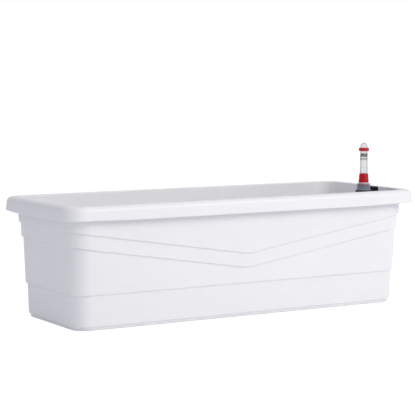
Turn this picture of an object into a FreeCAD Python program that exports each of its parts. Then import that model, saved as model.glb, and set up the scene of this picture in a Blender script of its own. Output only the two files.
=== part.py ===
import FreeCAD, Part
import os, math
from FreeCAD import Vector

# Self watering window box planter, with a lift-out false floor, a filler
# tower and a float gauge. All sizes are in millimetres.
#
# The origin is on the standing plane, under the middle of the trough.
# +Z is up, +X runs along the long side towards the gauge, -Y is the front.

os.makedirs("parts", exist_ok=True)

# ------------------------------------------------- sizes shared by the pieces
LENGTH = 600.0          # over the rim
DEPTH = 230.6           # over the rim
HEIGHT = 175.0          # standing plane to rim top
HALF_L, HALF_D = LENGTH / 2, DEPTH / 2
WALL = 2.4
BAND_Z = 49.4           # top of the reservoir band
FLOOR_TOP = 5.0
FLOOR_BOTTOM = 2.0

DRAIN_X, DRAIN_Y = -130.0, 0.0

GAUGE_X, GAUGE_Y = 242.5, -48.0     # axis shared by the tower, gauge and float
CAP_TOP = 172.0

PLATE_BOTTOM = BAND_Z + WALL        # the false floor rests on the trough's inner ledge
PLATE_TOP = PLATE_BOTTOM + 2.2
BASKET_X = (-186.0, -68.0, 68.0, 178.0)
BASKET_R = 31.0

OVER = 1.0              # how far cutters run past a face, and stacked solids overlap
TOL = 0.01              # slack when selecting edges by position


# ------------------------------------------------------------------- helpers
def corner_radius(inset):
    """Plan corner radius of a wall set in from the rim."""
    return 34.0 - 0.4 * inset


def rounded_wire(x0, x1, y0, y1, r, z):
    """Closed rounded rectangle, always eight edges."""
    k = r * (1 - math.sqrt(0.5))    # from the square corner to the arc's middle, per axis
    p = [Vector(x, y, z) for x, y in (
        (x0 + r, y0), (x1 - r, y0), (x1 - k, y0 + k),
        (x1, y0 + r), (x1, y1 - r), (x1 - k, y1 - k),
        (x1 - r, y1), (x0 + r, y1), (x0 + k, y1 - k),
        (x0, y1 - r), (x0, y0 + r), (x0 + k, y0 + k),
    )]
    edges = []
    for i in range(0, 12, 3):
        edges.append(Part.makeLine(p[i], p[i + 1]))
        edges.append(Part.Arc(p[i + 1], p[i + 2], p[(i + 3) % 12]).toShape())
    return Part.Wire(edges)


def inset_wire(inset, r, z):
    """Rounded rectangle set in from the rim's outline."""
    return rounded_wire(-HALF_L + inset, HALF_L - inset, -HALF_D + inset, HALF_D - inset, r, z)


def tapered_tub(inset0, r0, z0, inset1, r1, z1):
    """Tapered rounded block centred on the origin, from z0 to z1."""
    return Part.makeLoft([inset_wire(inset0, r0, z0), inset_wire(inset1, r1, z1)], True, True)


def inset_slab(inset, r, z0, z1):
    return Part.Face(inset_wire(inset, r, z0)).extrude(Vector(0, 0, z1 - z0))


def box(x0, x1, y0, y1, z0, z1):
    return Part.makeBox(x1 - x0, y1 - y0, z1 - z0, Vector(x0, y0, z0))


def rounded_box(x0, x1, y0, y1, z0, z1, r):
    return Part.Face(rounded_wire(x0, x1, y0, y1, r, z0)).extrude(Vector(0, 0, z1 - z0))


def cyl(x, y, r, z0, z1):
    return Part.makeCylinder(r, z1 - z0, Vector(x, y, z0))


def revolve(points, x=GAUGE_X, y=GAUGE_Y):
    """Solid of revolution about a vertical axis from (radius, z) points."""
    corners = [Vector(x + r, y, z) for r, z in points]
    wire = Part.makePolygon(corners + [corners[0]])
    return Part.Face(wire).revolve(Vector(x, y, 0), Vector(0, 0, 1), 360)


def radial_slot(x, y, r0, r1, half_w, z0, z1, round_ends, angle):
    """Upright slot cutter, from r0 to r1 off the axis, rounded at the heights round_ends."""
    slot = box(r0, r1, -half_w, half_w, z0, z1)
    for z in round_ends:
        slot = slot.fuse(Part.makeCylinder(half_w, r1 - r0, Vector(r0, 0, z), Vector(1, 0, 0)))
    slot.rotate(Vector(0, 0, 0), Vector(0, 0, 1), angle)
    slot.translate(Vector(x, y, 0))
    return slot


def ring_of_holes(x, y, ring_r, hole_r, z0, z1):
    """Six hole cutters spaced evenly round a vertical axis."""
    angles = [math.radians(60 * k) for k in range(6)]
    return [cyl(x + ring_r * math.cos(a), y + ring_r * math.sin(a), hole_r, z0, z1)
            for a in angles]


def fuse(shapes):
    return shapes[0].multiFuse(shapes[1:]).removeSplitter()


def edges_from(shape, z):
    """Edges that lie wholly at or above z."""
    return [e for e in shape.Edges if e.BoundBox.ZMin > z - TOL]


def save(name, shape):
    solids = shape.Solids
    if len(solids) != 1 or not solids[0].isValid():
        raise SystemExit(f"{name}: expected one valid solid, got {len(solids)}")
    solids[0].exportStep(f"parts/{name}.step")


# -------------------------------------------------------------------- trough
DRAFT = 0.03            # wall draft, mm per mm of height
DRAFT_Z = 150.0         # height at which the panel insets are measured
UPPER_INSET = 14.4      # upper panel, from the rim
MIDDLE_STEP = 2.4       # set-in of each lower panel from the upper one
LOWER_STEP = MIDDLE_STEP + 2.4
BAND_STEP = LOWER_STEP + 2.4
FOOT_STEP = BAND_STEP + 2.3
FOOT_Z = 4.6            # top of the foot
FOOT_RING = 4.0         # width of the standing ring

CHEVRON_SLOPE = 0.16    # rise along X, away from the middle of the long side
CHEVRON_UPPER_Z = 93.2  # heights at the middle of the long side
CHEVRON_LOWER_Z = 72.2
CHEVRON_R = 60.0        # sets the rounding of the nose
CHEVRON_START_Z = 60.0  # below both chevron lines

RIM_EDGE_Z = 154.2      # lower edge of the rim skirt
RIM_R = 30.0            # plan corner radius
RIM_DRAFT = 2.4         # how far the skirt leans in, bottom to top
RIM_TOP_FILLET = 8.0
RIM_INNER_FILLET = 1.2
RIM_TOP_T = 2.6
RIM_SKIRT_T = 2.2
RIM_BAND = 13.0         # inner rim edges lie further in than this
RIM_RIB_PITCH = 78
RIM_RIB_Y = 38
RIM_RIB_HALF_T = 0.8
RIM_RIB_Z = RIM_EDGE_Z + 5

UNDER_RIB_X = (-195, -65, 65, 195)
UNDER_RIB_HALF_T = 1.2
UNDER_RIB_Z = 0.6

DRAIN_R = 8.0
DRAIN_COLLAR_R = 11.0
DRAIN_COLLAR_Z = 14.0
NOTCH_R = 4.8


def panel_inset(step, z):
    return UPPER_INSET + step + (DRAFT_Z - z) * DRAFT


def panel(step, z0, z1, offset=0.0):
    """Drafted wall panel, set in by step from the upper panel and shrunk by offset."""
    i0, i1 = panel_inset(step, z0), panel_inset(step, z1)
    return tapered_tub(i0 + offset, corner_radius(i0) - offset, z0,
                       i1 + offset, corner_radius(i1) - offset, z1)


def above_chevron(z_mid, top):
    """Everything above a round-nosed chevron line, as a prism along Y."""
    y = -150
    x_end = HALF_L + 20.0
    angle = math.atan(CHEVRON_SLOPE)
    x_nose = CHEVRON_R * math.tan(angle / 2) * 2
    z_end = z_mid + CHEVRON_SLOPE * x_end
    z_nose = z_mid + CHEVRON_SLOPE * x_nose
    left, right = Vector(-x_nose, y, z_nose), Vector(x_nose, y, z_nose)
    nose = Vector(0, y, z_mid + CHEVRON_R * (1 / math.cos(angle) - 1))
    left_end, right_end = Vector(-x_end, y, z_end), Vector(x_end, y, z_end)
    left_top, right_top = Vector(-x_end, y, top), Vector(x_end, y, top)
    edges = [
        Part.makeLine(left_end, left),
        Part.Arc(left, nose, right).toShape(),
        Part.makeLine(right, right_end),
        Part.makeLine(right_end, right_top),
        Part.makeLine(right_top, left_top),
        Part.makeLine(left_top, left_end),
    ]
    return Part.Face(Part.Wire(edges)).extrude(Vector(0, -2 * y, 0))


def panels_above_band(z, top, offset=0.0):
    """Lower, middle and upper panels; the last two start at the chevron lines."""
    panels = [panel(LOWER_STEP, z, top, offset)]
    for step, z_mid in ((MIDDLE_STEP, CHEVRON_LOWER_Z), (0.0, CHEVRON_UPPER_Z)):
        whole = panel(step, CHEVRON_START_Z, top, offset)
        panels.append(whole.common(above_chevron(z_mid + offset, top)))
    return panels


def make_rim():
    """Rounded cap over a hanging skirt, hollow underneath between ribs."""
    rim = tapered_tub(0.0, RIM_R, RIM_EDGE_Z, RIM_DRAFT, RIM_R - RIM_DRAFT, HEIGHT)
    rim = rim.makeFillet(RIM_TOP_FILLET, edges_from(rim, HEIGHT))
    gutter_top = HEIGHT - RIM_TOP_T
    gutter = tapered_tub(RIM_SKIRT_T, RIM_R - RIM_SKIRT_T, RIM_EDGE_Z - OVER,
                         RIM_DRAFT + RIM_SKIRT_T, RIM_R - RIM_DRAFT - RIM_SKIRT_T, gutter_top)
    gutter = gutter.makeFillet(RIM_TOP_FILLET - RIM_SKIRT_T, edges_from(gutter, gutter_top))
    gutter = gutter.cut(panel(0.0, 140.0, HEIGHT))
    half_t = RIM_RIB_HALF_T
    ribs = []
    for i in range(-3, 4):
        x = i * RIM_RIB_PITCH
        ribs.append(box(x - half_t, x + half_t, -HALF_D, HALF_D, RIM_RIB_Z, HEIGHT))
    for y in (-RIM_RIB_Y, RIM_RIB_Y):
        ribs.append(box(-HALF_L, HALF_L, y - half_t, y + half_t, RIM_RIB_Z, HEIGHT))
    return rim.cut(gutter.cut(Part.makeCompound(ribs)))


def inner_rim_edges(body):
    def within(low, high, half):
        return max(abs(low), abs(high)) < half - RIM_BAND

    return [e for e in edges_from(body, HEIGHT)
            if within(e.BoundBox.XMin, e.BoundBox.XMax, HALF_L)
            and within(e.BoundBox.YMin, e.BoundBox.YMax, HALF_D)]


def make_under_recess():
    """Cutter for the shallow recess inside the standing ring, leaving cross ribs."""
    inset = panel_inset(FOOT_STEP, 0.0) + FOOT_RING
    r = corner_radius(inset) - 2
    recess = tapered_tub(inset, r, -OVER, inset, r, FLOOR_BOTTOM)
    ribs = [box(x - UNDER_RIB_HALF_T, x + UNDER_RIB_HALF_T, -HALF_D, HALF_D,
                UNDER_RIB_Z, FLOOR_TOP) for x in UNDER_RIB_X]
    return recess.cut(Part.makeCompound(ribs))


def make_trough():
    outer = fuse([
        panel(FOOT_STEP, 0.0, FOOT_Z + OVER),
        panel(BAND_STEP, FOOT_Z, BAND_Z + OVER),
    ] + panels_above_band(BAND_Z, HEIGHT))
    body = fuse([outer, make_rim()])
    # The same panels one wall thickness in, so the steps show inside too.
    body = body.cut(fuse(
        [panel(BAND_STEP, FLOOR_TOP, PLATE_BOTTOM + OVER, WALL)]
        + panels_above_band(PLATE_BOTTOM, HEIGHT + 2, WALL)))
    body = body.makeFillet(RIM_INNER_FILLET, inner_rim_edges(body))
    body = body.cut(make_under_recess())
    # Drain: a collar inside the floor, bored right through.
    body = body.fuse(cyl(DRAIN_X, DRAIN_Y, DRAIN_COLLAR_R, FLOOR_BOTTOM + OVER, DRAIN_COLLAR_Z))
    body = body.cut(cyl(DRAIN_X, DRAIN_Y, DRAIN_R, -OVER, DRAIN_COLLAR_Z + OVER))
    # Thumb notch in the inner edge of the back rim.
    y_inner = HALF_D - panel_inset(0.0, HEIGHT) - WALL
    body = body.cut(Part.makeSphere(NOTCH_R, Vector(0, y_inner + 0.5, HEIGHT + 2.2)))
    return body.removeSplitter()


save("trough", make_trough())


# --------------------------------------------------------------------- drain
# (radius, z) of the plug: head, groove for the seal, tapered end, hollow core
PLUG_PROFILE = [
    (0, 0.5), (10.4, 0.5), (10.4, FLOOR_BOTTOM), (7.7, FLOOR_BOTTOM),
    (7.7, 6.0), (6.3, 6.0), (6.3, 8.2), (7.7, 8.2),
    (7.7, 12.0), (6.4, 15.4), (5.0, 15.4), (5.0, 3.6), (0, 3.6),
]


def make_drain_plug():
    plug = revolve(PLUG_PROFILE, DRAIN_X, DRAIN_Y)
    coin_slot = box(DRAIN_X - 7, DRAIN_X + 7, DRAIN_Y - 1.1, DRAIN_Y + 1.1, -OVER, 1.9)
    return plug.cut(coin_slot)


save("drain_plug", make_drain_plug())
save("drain_plug_seal",
     Part.makeTorus(7.12, 0.82, Vector(DRAIN_X, DRAIN_Y, 7.1), Vector(0, 0, 1)))


# --------------------------------------------------------------- false floor
WELL_R = 11.2           # outside of the tower's round float well
DUCT_X = 20.6           # outer end of the square duct, from the gauge axis
DUCT_HALF_W = 9.0

PLATE_INSET = 25.2      # from the rim
SEAM = 0.6              # each half stops this far from the middle
STIFF_INSET = 30.0      # down-turned stiffening wall
STIFF_T = 1.8
STIFF_Z = PLATE_BOTTOM - 9
ROOT_Z = PLATE_BOTTOM + 0.5         # walls, ribs and legs run up into the plate
PLATE_RIB_Y = 46.0
PLATE_RIB_HALF_T = 0.9
LEG_Z = FLOOR_TOP + 0.3
LEG_HALF_W = 7
LEG_HALF_T = 1
# (x, y) of the end legs; the right pair is moved clear of the tower
END_LEGS = {-1: [(-240.0, 60), (-240.0, -60)], 1: [(232.0, 60), (222.0, -64)]}

HOLE_R = 2.5
HOLE_START_X = 14.0
HOLE_PITCH = 17.0
HOLE_COLUMNS = 15
HOLE_ROWS = (-70.0, -55.0, -35.0, 35.0, 55.0, 70.0)
FINGER_Y = 24
FINGER_HALF_L = 11
FINGER_HALF_W = 5


def keyhole(grow, z0, z1):
    """Plan of the filler tower, a round well with a square duct on its +X side."""
    return fuse([
        cyl(GAUGE_X, GAUGE_Y, WELL_R + grow, z0, z1),
        box(GAUGE_X, GAUGE_X + DUCT_X + grow,
            GAUGE_Y - DUCT_HALF_W - grow, GAUGE_Y + DUCT_HALF_W + grow, z0, z1),
    ])


def side_box(side, inner, outer, y0, y1, z0, z1):
    """Box between two distances from the middle, on the -X or +X side."""
    x0, x1 = sorted((side * inner, side * outer))
    return box(x0, x1, y0, y1, z0, z1)


def hole_is_clear(side, x, y, baskets, legs):
    if any(math.hypot(x - bx, y) < BASKET_R + 9.5 for bx in baskets):
        return False
    if any(abs(x - lx) < 10.5 and abs(y - ly) < 10.5 for lx, ly in legs):
        return False
    near_tower = GAUGE_X - 18.5 < x < GAUGE_X + 30 and abs(y - GAUGE_Y) < 17.5
    return side < 0 or not near_tower


def make_plate(side):
    """Half of the false floor; side is -1 for left, 1 for right."""
    r = corner_radius(PLATE_INSET)
    r_stiff = r - 6
    plate_end = HALF_L - PLATE_INSET
    half = side_box(side, SEAM, plate_end + 5, -HALF_D, HALF_D, 0, 90)
    slab = inset_slab(PLATE_INSET, r, PLATE_BOTTOM, PLATE_TOP).common(half)
    stiffener = inset_slab(STIFF_INSET, r_stiff, STIFF_Z, ROOT_Z)
    stiffener = stiffener.cut(inset_slab(STIFF_INSET + STIFF_T, r_stiff - STIFF_T,
                                         STIFF_Z - OVER, PLATE_BOTTOM + OVER)).common(half)
    y_stiff = HALF_D - STIFF_INSET
    seam_wall = side_box(side, SEAM, SEAM + STIFF_T, -y_stiff, y_stiff, STIFF_Z, ROOT_Z)
    parts = [slab, stiffener, seam_wall]
    for y in (-PLATE_RIB_Y, PLATE_RIB_Y):
        parts.append(side_box(side, SEAM + STIFF_T, plate_end - 7,
                              y - PLATE_RIB_HALF_T, y + PLATE_RIB_HALF_T,
                              PLATE_BOTTOM - 7, ROOT_Z))
    # Cross-shaped legs down to the trough floor.
    baskets = [x for x in BASKET_X if x * side > 0]
    x_mid = sum(baskets) / 2
    legs = [(x, y) for x in (x_mid, side * (SEAM + 12)) for y in (-60, 60)] + END_LEGS[side]
    w, t = LEG_HALF_W, LEG_HALF_T
    for x, y in legs:
        parts.append(box(x - w, x + w, y - t, y + t, LEG_Z, ROOT_Z))
        parts.append(box(x - t, x + t, y - w, y + w, LEG_Z, ROOT_Z))
    plate = fuse(parts)

    z_deep, z_low, z_high = PLATE_BOTTOM - 12, PLATE_BOTTOM - OVER, PLATE_TOP + OVER
    cuts = [cyl(x, 0, BASKET_R + 0.5, z_deep, z_high) for x in baskets]
    if side > 0:
        cuts.append(keyhole(0.4, z_deep, z_high))
    # Air and overflow holes, kept clear of the baskets, legs and tower.
    for i in range(HOLE_COLUMNS):
        x = side * (HOLE_START_X + i * HOLE_PITCH)
        for y in HOLE_ROWS:
            if hole_is_clear(side, x, y, baskets, legs):
                cuts.append(cyl(x, y, HOLE_R, z_low, z_high))
    # Finger slots to lift the plate out.
    for y in (-FINGER_Y, FINGER_Y):
        cuts.append(rounded_box(x_mid - FINGER_HALF_L, x_mid + FINGER_HALF_L,
                                y - FINGER_HALF_W, y + FINGER_HALF_W, z_low, z_high, 4.9))
    return plate.cut(Part.makeCompound(cuts)).removeSplitter()


save("false_floor_left", make_plate(-1))
save("false_floor_right", make_plate(1))


# -------------------------------------------------------------- soil baskets
BASKET_T = 1.8
BASKET_BOTTOM = FLOOR_TOP + 2.2
BASKET_BOTTOM_R = 23.0
BASKET_FLANGE = 5
BASKET_SLOT_HALF_W = 1.6
BASKET_SLOT_Z = (11.0, 41.0)
BASKET_HOLE_R = 2.2


def make_basket(x):
    """Soil cup hung through the false floor, slotted so the soil can draw up water."""
    t, r_top, r_bottom = BASKET_T, BASKET_R, BASKET_BOTTOM_R
    z_bottom, z_top = BASKET_BOTTOM, PLATE_TOP + t
    cup = revolve([
        (0, z_bottom), (r_bottom, z_bottom), (r_top - 0.6, PLATE_BOTTOM - 1),
        (r_top, PLATE_BOTTOM), (r_top, PLATE_TOP),
        (r_top + BASKET_FLANGE, PLATE_TOP), (r_top + BASKET_FLANGE, z_top), (r_top - t, z_top),
        (r_top - t - 0.6, PLATE_BOTTOM - 1), (r_bottom - t, z_bottom + t), (0, z_bottom + t),
    ], x, 0)
    cuts = [radial_slot(x, 0, 15, 40, BASKET_SLOT_HALF_W, *BASKET_SLOT_Z, BASKET_SLOT_Z,
                        30 * k + 15) for k in range(12)]
    z0, z1 = z_bottom - OVER, z_bottom + t + OVER
    cuts += ring_of_holes(x, 0, 12, BASKET_HOLE_R, z0, z1)
    cuts.append(cyl(x, 0, BASKET_HOLE_R, z0, z1))
    return cup.cut(Part.makeCompound(cuts))


for number, basket_x in enumerate(BASKET_X, 1):
    save(f"soil_basket_{number}", make_basket(basket_x))


# -------------------------------------------------------------- filler tower
TOWER_WALL = 1.2
TOWER_BOTTOM = 7.0
TOWER_TOP = CAP_TOP - 2.1
TOWER_BASE_T = 1.6
DUCT_BOTTOM = PLATE_BOTTOM - 8.0
WINDOW_HALF_W = 2.6
WINDOW_TOP = 40.0       # centre of the window's round top


def make_tower():
    x, y = GAUGE_X, GAUGE_Y
    shell = fuse([
        cyl(x, y, WELL_R, TOWER_BOTTOM, TOWER_TOP),
        box(x, x + DUCT_X, y - DUCT_HALF_W, y + DUCT_HALF_W, DUCT_BOTTOM, TOWER_TOP),
    ])
    # Collar that rests on the false floor.
    shell = shell.fuse(keyhole(3.2, PLATE_TOP, PLATE_TOP + 2.0))
    half_w = DUCT_HALF_W - TOWER_WALL
    duct = box(x, x + DUCT_X - TOWER_WALL, y - half_w, y + half_w,
               DUCT_BOTTOM - OVER, TOWER_TOP + OVER)
    shell = shell.cut(duct.cut(cyl(x, y, WELL_R, DUCT_BOTTOM - 2, TOWER_TOP + 2)))
    shell = shell.cut(cyl(x, y, WELL_R - TOWER_WALL, TOWER_BOTTOM + TOWER_BASE_T,
                          TOWER_TOP + OVER))
    # Windows and base holes that let the water reach the float.
    cuts = [radial_slot(x, y, 5, 14, WINDOW_HALF_W, TOWER_BOTTOM + 3.2, WINDOW_TOP,
                        (WINDOW_TOP,), 60 * k + 30) for k in range(6)]
    z0, z1 = TOWER_BOTTOM - OVER, TOWER_BOTTOM + 3
    cuts.append(cyl(x, y, 4.0, z0, z1))
    cuts += ring_of_holes(x, y, 7, 1.6, z0, z1)
    return shell.cut(Part.makeCompound(cuts)).removeSplitter()


save("filler_tower", make_tower())


# ----------------------------------------------------- tower cap, lid and pin
LID_BOTTOM = CAP_TOP + 0.2
LID_TOP = LID_BOTTOM + 5.0
LID_HALF_W = 8.4
LID_SIDE_T = 1.2
LID_TOP_T = 1.4
LID_CUP_R = 12.6        # hollow round the gauge socket
LID_CUP_T = 1.3
KNUCKLE_R = 2.6
HINGE_X = GAUGE_X + 19.4
HINGE_Z = LID_BOTTOM + KNUCKLE_R
HINGE_HALF_W = 9.9      # over the lugs
HINGE_BORE_R = 1.05
PIN_R = 1.0
LUG_R = 1.8
LUG_T = 1.3


def hinge_cyl(r, y0, y1):
    return Part.makeCylinder(r, y1 - y0, Vector(HINGE_X, y0, HINGE_Z), Vector(0, 1, 0))


def hinge_bore():
    return hinge_cyl(HINGE_BORE_R, GAUGE_Y - 12, GAUGE_Y + 12)


def make_cap():
    cap = keyhole(1.3, 160.5, CAP_TOP)
    cap = cap.cut(keyhole(0.12, 159.0, CAP_TOP - 2.0))
    cap = cap.cut(cyl(GAUGE_X, GAUGE_Y, 9.8, 150, CAP_TOP + OVER))
    filling_mouth = rounded_box(GAUGE_X + 12.6, GAUGE_X + 18.2, GAUGE_Y - 7.0, GAUGE_Y + 7.0,
                                165, CAP_TOP + OVER, 1.2)
    cap = cap.cut(filling_mouth)
    lugs = []
    for y0 in (GAUGE_Y - HINGE_HALF_W, GAUGE_Y + HINGE_HALF_W - LUG_T):
        y1 = y0 + LUG_T
        lugs.append(hinge_cyl(LUG_R, y0, y1).fuse(
            box(HINGE_X - LUG_R, HINGE_X + LUG_R, y0, y1, CAP_TOP - 0.5, HINGE_Z)))
    return fuse([cap] + lugs).cut(hinge_bore())


def make_lid():
    """Block over the filling mouth, hollowed round the socket and hinged at its +X end."""
    x0, x1 = GAUGE_X + 9.8, HINGE_X + KNUCKLE_R
    z0, z1 = LID_BOTTOM, LID_TOP
    lid = box(x0, x1, GAUGE_Y - LID_HALF_W, GAUGE_Y + LID_HALF_W, z0, z1)
    lid = lid.makeFillet(KNUCKLE_R, [e for e in lid.Edges if e.BoundBox.ZMax < z0 + TOL
                                     and e.BoundBox.XMin > x1 - TOL])
    lid = lid.makeFillet(0.6, edges_from(lid, z1))
    lid = lid.cut(cyl(GAUGE_X, GAUGE_Y, LID_CUP_R, z0 - OVER, z1 + OVER))
    # Hollow underneath, with a wall left round the cup.
    half_w = LID_HALF_W - LID_SIDE_T
    inside = box(x0, HINGE_X - KNUCKLE_R - 0.4, GAUGE_Y - half_w, GAUGE_Y + half_w,
                 z0 - OVER, z1 - LID_TOP_T)
    lid = lid.cut(inside.cut(cyl(GAUGE_X, GAUGE_Y, LID_CUP_R + LID_CUP_T, z0 - 2, z1)))
    lid = lid.cut(hinge_bore())
    thumb_ridges = [box(x, x + 0.6, GAUGE_Y - 5.0, GAUGE_Y + 5.0, z1 - 0.4, z1 + 0.35)
                    for x in (GAUGE_X + 14.2, GAUGE_X + 15.6)]
    return fuse([lid] + thumb_ridges)


save("tower_cap", make_cap())
save("filler_lid", make_lid())
save("lid_hinge_pin", hinge_cyl(PIN_R, GAUGE_Y - HINGE_HALF_W, GAUGE_Y + HINGE_HALF_W))


# --------------------------------------------------------------------- gauge
# Profiles are (radius, z) about the gauge axis.
CONE_TOP = 198.0
SOCKET_PROFILE = [
    (8.3, 161.0), (9.6, 161.0), (9.6, CAP_TOP), (11.8, CAP_TOP), (11.8, CAP_TOP + 1.4),
    (10.7, CAP_TOP + 1.9), (10.6, 182.6), (10.3, 182.9), (9.2, 182.9), (9.1, 177.0),
    (1.6, 177.0), (1.6, 175.4), (8.3, 175.4),
]
CONE_PROFILE = [
    (6.5, 177.1), (8.9, 177.1), (8.9, 179.0), (7.2, 179.6), (7.2, 184.3), (7.95, 184.6),
    (7.95, 185.3), (7.45, 190.3), (7.15, 190.8), (7.35, 191.2), (6.8, CONE_TOP - 0.3),
    (6.65, CONE_TOP), (6.24, CONE_TOP), (6.42, 183.0),
]
RING_PROFILE = [
    (5.80, 233.1), (7.5, 233.1), (8.0, 233.9), (8.0, 236.9), (7.5, 237.9), (5.80, 237.9),
]
TUBE_BOTTOM_R, TUBE_BOTTOM_Z = 6.35, 183.2
TUBE_TOP_R, TUBE_TOP_Z = 5.75, 233.0
TUBE_T = 1.0
DOME_R, DOME_Z = 5.6, 240.5
DOME_STEPS = 10


def make_gauge_tube():
    """Clear indicator tube, closed by a dome."""
    z_joint = CONE_TOP - 1
    along = (z_joint - TUBE_BOTTOM_Z) / (TUBE_TOP_Z - TUBE_BOTTOM_Z)
    r_joint = TUBE_BOTTOM_R + (TUBE_TOP_R - TUBE_BOTTOM_R) * along

    def dome(r):
        """Dome points from its foot to just short of its top."""
        angles = [math.pi / 2 * i / DOME_STEPS for i in range(DOME_STEPS)]
        return [(r * math.cos(a), DOME_Z + r * math.sin(a)) for a in angles]

    inner_r = DOME_R - TUBE_T
    outer = [(TUBE_BOTTOM_R, TUBE_BOTTOM_Z), (r_joint, z_joint), (TUBE_TOP_R, TUBE_TOP_Z),
             (5.7, 238.2)] + dome(DOME_R) + [(0, DOME_Z + DOME_R)]
    inner = [(0, DOME_Z + inner_r)] + dome(inner_r)[::-1] + [
        (TUBE_TOP_R - TUBE_T, TUBE_TOP_Z), (TUBE_BOTTOM_R - TUBE_T, TUBE_BOTTOM_Z)]
    return revolve(outer + inner)


save("gauge_socket", revolve(SOCKET_PROFILE))
save("gauge_cone", revolve(CONE_PROFILE))
save("gauge_tube", make_gauge_tube())
save("gauge_ring", revolve(RING_PROFILE))


# --------------------------------------------------------------------- float
ROD_R = 1.2
ROD_BORE_R = 1.22
BEAD_PROFILE = [
    (ROD_BORE_R, 187.0), (3.7, 187.0), (4.1, 187.6), (4.1, 194.6), (3.5, 196.4),
    (2.1, 197.2), (0, 197.4), (0, 192.1), (ROD_BORE_R, 192.1),
]
FLOAT_PROFILE = [
    (0, 9.2), (7.9, 9.2), (8.9, 10.2), (8.9, 33.0), (7.9, 33.0), (7.9, 10.4), (0, 10.4),
]
FLOAT_CAP_PROFILE = [
    (ROD_BORE_R, 30.8), (ROD_BORE_R, 36.5), (3.0, 36.5), (3.6, 34.4), (8.9, 34.4),
    (8.9, 33.05), (7.8, 33.05), (7.8, 31.0), (6.7, 31.0), (6.7, 33.05), (3.2, 33.05),
    (3.2, 29.5), (0, 29.5), (0, 30.8),
]

save("indicator_rod", cyl(GAUGE_X, GAUGE_Y, ROD_R, 31.0, 192.0))
save("indicator_bead", revolve(BEAD_PROFILE))
save("float_body", revolve(FLOAT_PROFILE))
save("float_cap", revolve(FLOAT_CAP_PROFILE))
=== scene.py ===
import bpy, bmesh, math
from collections import namedtuple
from mathutils import Vector, Matrix


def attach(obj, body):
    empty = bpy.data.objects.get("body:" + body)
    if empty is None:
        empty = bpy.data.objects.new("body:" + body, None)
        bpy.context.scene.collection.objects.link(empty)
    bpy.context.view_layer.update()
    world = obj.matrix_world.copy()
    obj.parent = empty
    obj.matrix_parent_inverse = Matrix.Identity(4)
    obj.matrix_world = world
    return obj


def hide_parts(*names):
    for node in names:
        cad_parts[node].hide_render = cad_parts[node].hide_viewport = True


# Self-watering window box planter: a long trough with a rolled rim, a water gauge with its
# float, and a filler tower with a hinged lid.
# Origin on the standing plane under the middle, +X along the long side towards the gauge,
# -Y the front, +Z up. Sizes are in millimetres unless a comment says metres.

MM = 0.001
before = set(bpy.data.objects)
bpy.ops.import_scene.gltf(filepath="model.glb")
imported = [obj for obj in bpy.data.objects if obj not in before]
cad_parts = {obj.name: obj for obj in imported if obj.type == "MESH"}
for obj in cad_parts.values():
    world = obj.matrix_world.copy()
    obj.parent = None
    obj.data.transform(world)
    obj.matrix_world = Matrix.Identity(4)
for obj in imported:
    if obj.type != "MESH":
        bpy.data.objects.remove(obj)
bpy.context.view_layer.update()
scene = bpy.context.scene


# ---------------------------------------------------------------- shader graph
class Graph:
    """Short calls that build one shader tree. An input takes a number, a colour or a socket."""

    def __init__(self, owner, clear=True):
        owner.use_nodes = True
        self.tree = owner.node_tree
        if clear:
            self.tree.nodes.clear()

    def feed(self, socket, value):
        if isinstance(value, bpy.types.NodeSocket):
            self.tree.links.new(value, socket)
        elif socket.type == "RGBA":
            socket.default_value = (*value, 1.0)
        else:
            socket.default_value = value

    def node(self, kind, inputs=None, **props):
        node = self.tree.nodes.new("ShaderNode" + kind)
        for key, value in props.items():
            setattr(node, key, value)
        for key, value in (inputs or {}).items():
            self.feed(node.inputs[key], value)
        return node

    def add(self, kind, inputs=None, output=0, **props):
        """Add a node and return one of its output sockets."""
        return self.node(kind, inputs, **props).outputs[output]

    def math(self, operation, a, b):
        return self.add("Math", {0: a, 1: b}, operation=operation)

    def remap(self, value, source, target):
        """Map the source range to the target range, clamped."""
        return self.add("MapRange", {
            "Value": value, "From Min": source[0], "From Max": source[1],
            "To Min": target[0], "To Max": target[1]})

    def mix(self, factor, a, b):
        node = self.node("Mix", data_type="RGBA")
        sockets = {s.identifier: s for s in [*node.inputs, *node.outputs]}
        self.feed(sockets["Factor_Float"], factor)
        self.feed(sockets["A_Color"], a)
        self.feed(sockets["B_Color"], b)
        return sockets["Result_Color"]

    def noise(self, position, scale, detail, rough, stretch=None):
        if stretch:
            position = self.add("Mapping", {"Vector": position, "Scale": stretch})
        return self.add("TexNoise", {
            "Vector": position, "Scale": scale, "Detail": detail, "Roughness": rough},
            output="Fac")

    def bump(self, height, depth, normal):
        return self.add("Bump", {
            "Strength": 1.0, "Distance": depth * MM, "Height": height, "Normal": normal})


# ------------------------------------------------------------------- materials
DUST_COLOUR = (0.55, 0.5, 0.44)


def shade(colour, gain, lift=0.0):
    return tuple(min(1.0, c * gain + lift) for c in colour)


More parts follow.
